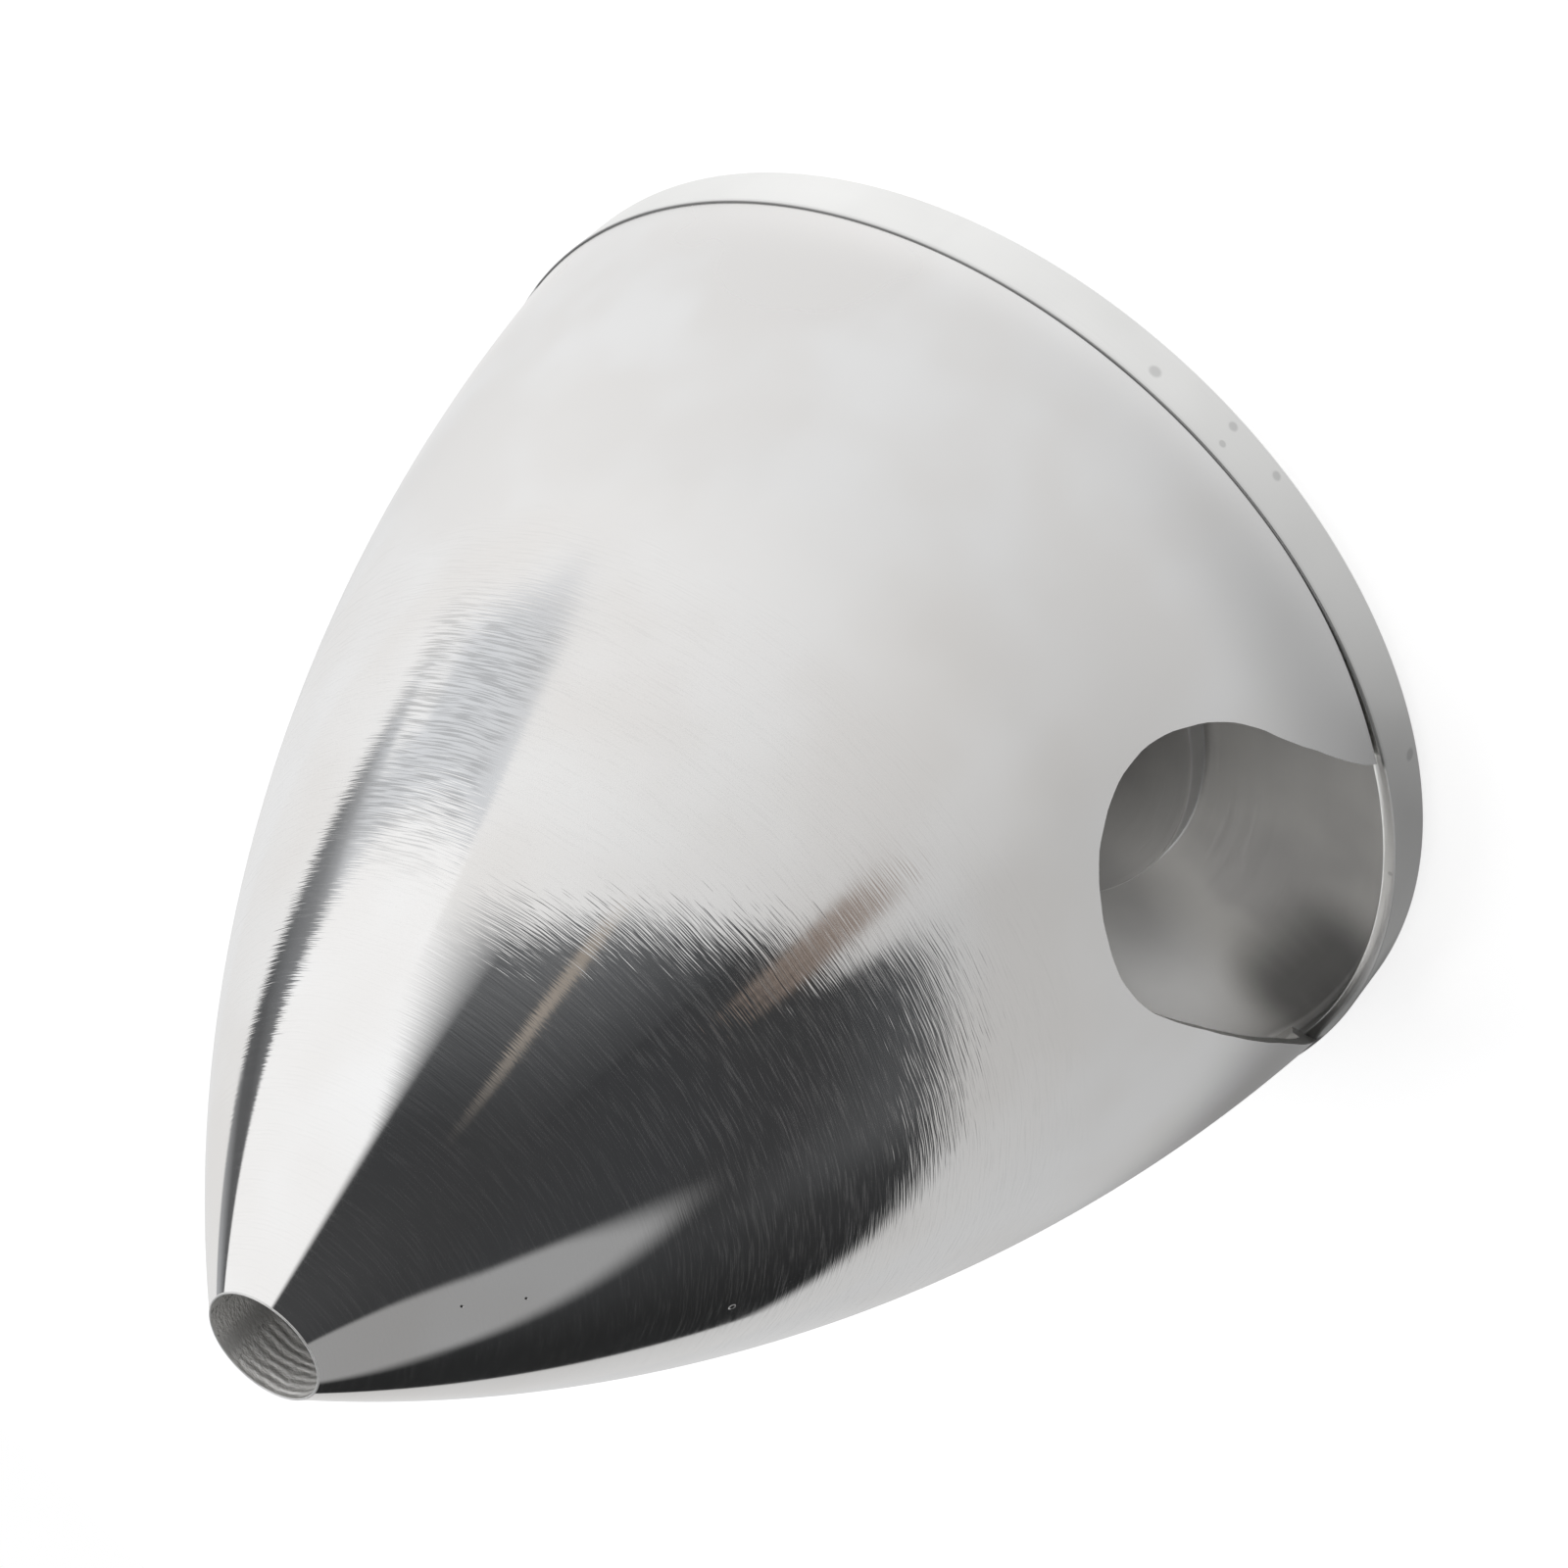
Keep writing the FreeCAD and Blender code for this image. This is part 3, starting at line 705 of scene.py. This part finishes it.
def slot_outline():
    """Cut-out seen from the side: two parallel sides at the blades' pitch and one round end, in y and z."""
    up = Vector((-math.cos(SLOT_PITCH), math.sin(SLOT_PITCH)))
    across = Vector((math.sin(SLOT_PITCH), math.cos(SLOT_PITCH)))
    centre = Vector((0.0, BLADE_AXIS)) + up * SLOT_REACH
    half = SLOT_WIDTH / 2
    depth = BLADE_AXIS + SLOT_OVERRUN
    high_run = (depth + up.y * SLOT_REACH + across.y * half) / up.y
    low_run = (depth + up.y * SLOT_REACH - across.y * half) / up.y
    points = []
    for k in range(SLOT_SIDE_POINTS):
        along = high_run * (1 - k / SLOT_SIDE_POINTS)
        points.append(centre + across * (half + filed_offset(-along)) - up * along)
    for k in range(SLOT_END_POINTS + 1):
        angle = math.pi * k / SLOT_END_POINTS
        reach = half + filed_offset(angle * half)
        points.append(centre + (across * math.cos(angle) + up * math.sin(angle)) * reach)
    for k in range(1, SLOT_SIDE_POINTS + 1):
        along = low_run * k / SLOT_SIDE_POINTS
        points.append(centre - across * (half + filed_offset(math.pi * half + along)) - up * along)
    return points


def slot_cutter(name, side):
    """Prism that cuts one cut-out. Side is -1 for the one on -X and 1 for the one on +X."""
    outline = slot_outline()
    count = len(outline)
    reach = BASE_RADIUS + SLOT_OVERRUN
    points = []
    for x in (1.0, reach):
        for point in outline:
            points.append((side * x * MM, -side * point.x * MM, point.y * MM))
    faces = [tuple(range(count)), tuple(reversed(range(count, 2 * count)))]
    for k in range(count):
        following = (k + 1) % count
        faces.append((k, count + k, count + following, following))
    cutter = new_piece(name, points, faces)
    bm = bmesh.new()
    bm.from_mesh(cutter.data)
    bmesh.ops.recalc_face_normals(bm, faces=bm.faces)
    bm.to_mesh(cutter.data)
    bm.free()
    return cutter


def cut(piece, cutter):
    """Takes the cutter's shape out of a piece. Its walls keep the cutter's material."""
    modifier = piece.modifiers.new("cut", "BOOLEAN")
    modifier.operation = "DIFFERENCE"
    modifier.solver = "EXACT"
    modifier.object = cutter
    modifier.material_mode = "TRANSFER"
    depsgraph = bpy.context.evaluated_depsgraph_get()
    mesh = bpy.data.meshes.new_from_object(piece.evaluated_get(depsgraph))
    piece.modifiers.clear()
    piece.data = mesh
    bpy.data.objects.remove(cutter)


def bend_corners(mesh):
    """Bends the shell's two sharp corners in and up, and wears their points blunt."""
    for vertex in mesh.vertices:
        x, y, z = vertex.co / MM
        azimuth = math.degrees(math.atan2(y, x))
        for corner in (CORNER_AZIMUTH, CORNER_AZIMUTH - 180):
            past = (azimuth - corner + 180) % 360 - 180
            low = min(1.0, 1 - (z - LEDGE) / CORNER_TALL)
            if abs(past) < CORNER_REACH and low > 0:
                near = 1 - abs(past) / CORNER_REACH
                bent = near * near * (3 - 2 * near) * low
                point = max(0.0, 1 - max(0.0, past) / CORNER_WEAR_REACH) * low ** 5
                outward = Vector((math.cos(math.radians(azimuth)), math.sin(math.radians(azimuth)), 0))
                onward = Vector((-outward.y, outward.x, 0))
                move = Vector((0, 0, CORNER_UP)) * bent - outward * CORNER_IN * bent
                vertex.co += (move + onward * CORNER_WORN * point) * MM


def true_normals(mesh):
    """Gives the cone's outside the normals of its drawn arc, so that it mirrors without facets."""
    mesh.polygons.foreach_set("use_smooth", [True] * len(mesh.polygons))
    mesh.set_sharp_from_angle(angle=math.radians(35))
    normals = [Vector(corner.vector) for corner in mesh.corner_normals]
    centre = side_arc()
    for face in mesh.polygons:
        x, y, z = face.center / MM
        outward = Vector((x, y, 0)).normalized()
        off = Vector((math.hypot(x, y) - centre.x, z - centre.y))
        ideal = outward * (off.x / off.length) + Vector((0, 0, off.y / off.length))
        if abs(off.length - SIDE_ARC_RADIUS) < 0.3 and face.normal.dot(ideal) > 0.97:
            for corner in face.loop_indices:
                x, y, z = mesh.vertices[mesh.loops[corner].vertex_index].co / MM
                outward = Vector((x, y, 0)).normalized()
                off = Vector((math.hypot(x, y) - centre.x, z - centre.y)).normalized()
                normals[corner] = outward * off.x + Vector((0, 0, off.y))
    mesh.normals_split_custom_set(normals)


def cone_finish(x, y, z):
    """Which finish a place on the cone has: 0 outside, 1 inside, 2 in the nose bore, 3 on its lip."""
    radius = math.hypot(x, y)
    centre = side_arc()
    if radius < NOSE_BORE_RADIUS + 2 * LIP and z > TIP - 1.25 * LIP:
        return 3
    if radius < NOSE_BORE_RADIUS + LIP and z > TIP - SEAT_DEPTH - SEAT_THICKNESS / 2:
        return 2
    if math.hypot(radius - centre.x, z - centre.y) < SIDE_ARC_RADIUS - SHELL_WALL / 2:
        return 1
    return 0


def make_cone():
    """The polished shell with its two blade cut-outs."""
    cone = turn("spinner_cone", cone_section(), CONE_SEGMENTS)
    for finish in (polished_shell(), turned_inside(), rough_bore(), worn_lip(), filed_edge()):
        cone.data.materials.append(finish)
    for face in cone.data.polygons:
        face.material_index = cone_finish(*(face.center / MM))
    for side in (-1, 1):
        cutter = slot_cutter("slot_cutter", side)
        cutter.data.materials.append(cone.data.materials["filed_edge"])
        cut(cone, cutter)
    bend_corners(cone.data)
    true_normals(cone.data)
    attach(cone, "root")
    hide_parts("nose_cone")


def make_plate():
    """The backplate that the cone stands on."""
    plate = turn("spinner_plate", plate_section(), PLATE_SEGMENTS)
    plate.data.materials.append(turned_plate())
    plate.data.polygons.foreach_set("use_smooth", [True] * len(plate.data.polygons))
    plate.data.set_sharp_from_angle(angle=math.radians(35))
    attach(plate, "root")
    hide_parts("backplate")


def dress_hidden_pieces():
    """Finishes for the bush, the nut, the screw and its washer."""
    finishes = {
        "shaft_bush": plain_steel("bush_metal", (0.80, 0.80, 0.79), 0.3),
        "adapter_nut": plain_steel("nut_steel", (0.55, 0.54, 0.53), 0.3),
        "nose_screw": plain_steel("screw_steel", (0.12, 0.12, 0.12), 0.4),
        "seat_washer": plain_steel("washer_steel", (0.6, 0.6, 0.6), 0.3),
    }
    for node, finish in finishes.items():
        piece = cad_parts[node]
        piece.data.materials.clear()
        piece.data.materials.append(finish)


def direction_angles(graph):
    """Azimuth from the camera's side and elevation of the sky's directions, in degrees."""
    x, y, z = graph.split(graph.node("ShaderNodeTexCoord", output="Generated"))
    return azimuth_from_camera(graph, x, y), graph.math("ARCSINE", z) * math.degrees(1)


def azimuth_from_camera(graph, x, y):
    """Degrees round the axis, 0 on the camera's side."""
    cos = math.cos(math.radians(LIGHT_AZIMUTH))
    sin = math.sin(math.radians(LIGHT_AZIMUTH))
    return graph.math("ARCTAN2", y * cos - x * sin, x * cos + y * sin) * math.degrees(1)


def grey(graph, level, tint=(1.0, 1.0, 1.0)):
    """Colour of a level, with a tint."""
    return graph.node("ShaderNodeCombineColor", inputs={k: level * part for k, part in enumerate(tint)})


def left_side(graph, azimuth, elevation):
    """The dark room with an overhead lamp, a warm streak and the soft edge of the large lamp."""
    light = graph.mix(graph.step(elevation, *ROOM_TOP_START), ROOM, ROOM_TOP)
    haze = graph.step(azimuth, -30, 25) * (1 - graph.step(elevation, 20, 40))
    light = graph.mix(haze, light, ROOM_HAZE)
    streak = azimuth - graph.curve(elevation, STREAK_LINE)
    streak = graph.between(streak, -2.3, 2.3, 1.2) * (1 - graph.step(elevation, 28, 40))
    light = graph.mix(streak, light, STREAK)
    light = graph.mix(graph.step(elevation, *OVERHEAD_START), light, OVERHEAD_LEVEL)
    low = graph.math("MAXIMUM", 38 - elevation, 0)
    start = 39.5 - low * 0.2
    finish = 45.5 + low * 1.25
    glow = graph.math("SMOOTH_MIN", (azimuth - start) / (finish - start), 1.0, 0.1)
    return graph.background(graph.mix(graph.math("MAXIMUM", glow, 0), light, LAMP_LEVEL))


def far_left_side(graph, azimuth, elevation):
    """The dark room with the dim lamp and the overhead lamp."""
    light = graph.mix(graph.step(azimuth, -130, -85), ROOM_FAR_LEFT, ROOM)
    haze = graph.step(azimuth, -100, -80) * (1 - graph.step(elevation, 2, 14))
    light = graph.mix(haze, light, ROOM_LOW_HAZE)
    light = graph.mix(graph.step(elevation, *ROOM_TOP_START), light, ROOM_TOP)
    edge = azimuth - graph.curve(elevation, DIM_LAMP_EDGE)
    edge = edge / (1 + graph.math("MAXIMUM", 26 - elevation, 0) * 0.2)
    foot = 16.8 - graph.math("MAXIMUM", -115 - azimuth, 0) * 0.2
    dim = (1 - graph.step(edge, -2, 3)) * graph.step(elevation - foot, -3.0, 2.0)
    light = graph.mix(dim, light, DIM_LAMP_LEVEL)
    return graph.background(graph.mix(graph.step(elevation, *OVERHEAD_START), light, OVERHEAD_LEVEL))


def right_side(graph, azimuth, elevation):
    """The large lamp, and the paler gap between it and the table."""
    gap = grey(graph, graph.curve(azimuth, GAP_LIGHT), (0.98, 1.0, 1.03))
    spill = graph.between(azimuth, 95.5, 103.8, 1.2) * graph.between(elevation, -4.6, 0.4, 0.7)
    gap = graph.mix(spill, gap, 0.92)
    lamp = graph.step(elevation - graph.curve(azimuth, LAMP_FOOT), -0.8, 0.8)
    lamp = lamp * (1 - graph.step(azimuth, 148, 154))
    return graph.background(graph.mix(lamp, gap, LAMP_LEVEL))


def warm_patch(graph, azimuth, elevation):
    """Where a striped, warm patch stands in front of the table's edge, and its light."""
    across = azimuth + elevation * 0.31 + 27.2
    along = elevation - azimuth * 0.3
    mask = 1 - graph.step(graph.math("ABSOLUTE", across), 4.3, 5.5)
    mask = mask * graph.step(along, 13.5, 18.0) * (1 - graph.step(along, 26.4, 27.8))
    stripes = 1 + graph.math("COSINE", across * 2.1) * 0.32
    level = stripes * (0.235 - graph.step(along, 18, 27) * 0.09)
    return mask, graph.background(grey(graph, level, PATCH_TINT))


def studio():
    """The world: white to the camera, and to everything else a white table in a room with lamps."""
    world = bpy.data.worlds.new("studio")
    world.use_nodes = True
    bpy.context.scene.world = world
    graph = Graph(world.node_tree)
    azimuth, elevation = direction_angles(graph)
    room = graph.lay(
        graph.step(azimuth, -21, -19),
        far_left_side(graph, azimuth, elevation),
        left_side(graph, azimuth, elevation),
    )
    room = graph.lay(graph.step(azimuth, 62.5, 64.5), room, right_side(graph, azimuth, elevation))
    table = graph.background(grey(graph, graph.curve(azimuth, TABLE_LIGHT), (1.0, 0.993, 0.985)))
    above = elevation - graph.curve(azimuth, TABLE_EDGE)
    lit = graph.lay(graph.step(above, -0.9, 0.9), table, room)
    mask, patch = warm_patch(graph, azimuth, elevation)
    lit = graph.lay(mask, lit, patch)
    seen = graph.node("ShaderNodeLightPath", output="Is Camera Ray")
    graph.raw("ShaderNodeOutputWorld", inputs={"Surface": graph.lay(seen, lit, graph.background(1.0))})


def mirrored_floor(graph):
    """Brightness of the table as the polish sees it, darker where the part stands in its light."""
    x, y, z = graph.split(graph.place())
    azimuth = azimuth_from_camera(graph, x, y)
    radius = from_axis(graph, x, y)
    near = 1 - graph.step(radius, *CONTACT_REACH)
    beside = 1 - graph.step(radius, *RIM_REACH)
    share = 1 - graph.curve(azimuth, CONTACT_SHADE) * near
    share = share + (graph.curve(azimuth, RIM_LIGHT) - share) * beside
    level = graph.curve(azimuth, TABLE_LIGHT) * share
    return graph.node("ShaderNodeEmission", inputs={"Color": grey(graph, level)})


def floor_white():
    """White table top that keeps a soft shadow."""
    material, graph = new_material("floor_white")
    path = graph.raw("ShaderNodeLightPath")
    camera = Socket(graph, path.outputs["Is Camera Ray"])
    glossy = Socket(graph, path.outputs["Is Glossy Ray"])
    clear = Socket(graph, path.outputs["Is Transmission Ray"])
    white = graph.node("ShaderNodeBsdfPrincipled", inputs={
        "Base Color": rgba(FLOOR_GREY),
        "Roughness": 0.9,
        "Specular IOR Level": 0.0,
        "Emission Color": grey(graph, camera * FLOOR_CAMERA_GLOW),
        "Emission Strength": 1.0,
    })
    surface = graph.lay(graph.math("MAXIMUM", glossy, clear), white, mirrored_floor(graph))
    graph.raw("ShaderNodeOutputMaterial", inputs={"Surface": surface})
    return material


def make_floor():
    """Round table top under the part."""
    points = []
    for k in range(FLOOR_POINTS):
        angle = 2 * math.pi * k / FLOOR_POINTS
        points.append((FLOOR_RADIUS * math.cos(angle), FLOOR_RADIUS * math.sin(angle), 0.0))
    floor = new_piece("floor", points, [tuple(range(FLOOR_POINTS))])
    floor.data.materials.append(floor_white())


def add_inner_lamp():
    """Small soft lamp inside the cone, for the light that many bounces carry in there."""
    data = bpy.data.lights.new("inner_lamp", "POINT")
    data.energy = INNER_LAMP_POWER
    data.shadow_soft_size = INNER_LAMP_RADIUS
    lamp = bpy.data.objects.new("inner_lamp", data)
    lamp.location = Vector(INNER_LAMP_PLACE) * MM
    lamp.visible_camera = False
    bpy.context.scene.collection.objects.link(lamp)


def add_camera():
    """Camera where the photograph was taken from, turned about its own axis as the picture is."""
    azimuth = math.radians(CAMERA_AZIMUTH)
    elevation = math.radians(CAMERA_ELEVATION)
    roll = math.radians(CAMERA_ROLL)
    back = Vector((
        math.cos(elevation) * math.cos(azimuth),
        math.cos(elevation) * math.sin(azimuth),
        math.sin(elevation),
    ))
    level_right = Vector((0, 0, 1)).cross(back).normalized()
    level_up = back.cross(level_right)
    up = level_up * math.cos(roll) - level_right * math.sin(roll)
    right = level_up * math.sin(roll) + level_right * math.cos(roll)
    data = bpy.data.cameras.new("camera")
    data.sensor_width = SENSOR_WIDTH
    data.lens = SENSOR_WIDTH * FOCAL_LENGTH_IN_FRAMES
    data.clip_start = 0.01
    data.clip_end = 20.0
    camera = bpy.data.objects.new("camera", data)
    place = (Vector(CAMERA_AIM) + back * CAMERA_DISTANCE) * MM
    camera.matrix_world = Matrix.Translation(place) @ Matrix((right, up, back)).transposed().to_4x4()
    bpy.context.scene.collection.objects.link(camera)
    bpy.context.scene.camera = camera


make_cone()
make_plate()
dress_hidden_pieces()
studio()
make_floor()
add_inner_lamp()
add_camera()
bpy.context.scene.view_settings.view_transform = "Standard"
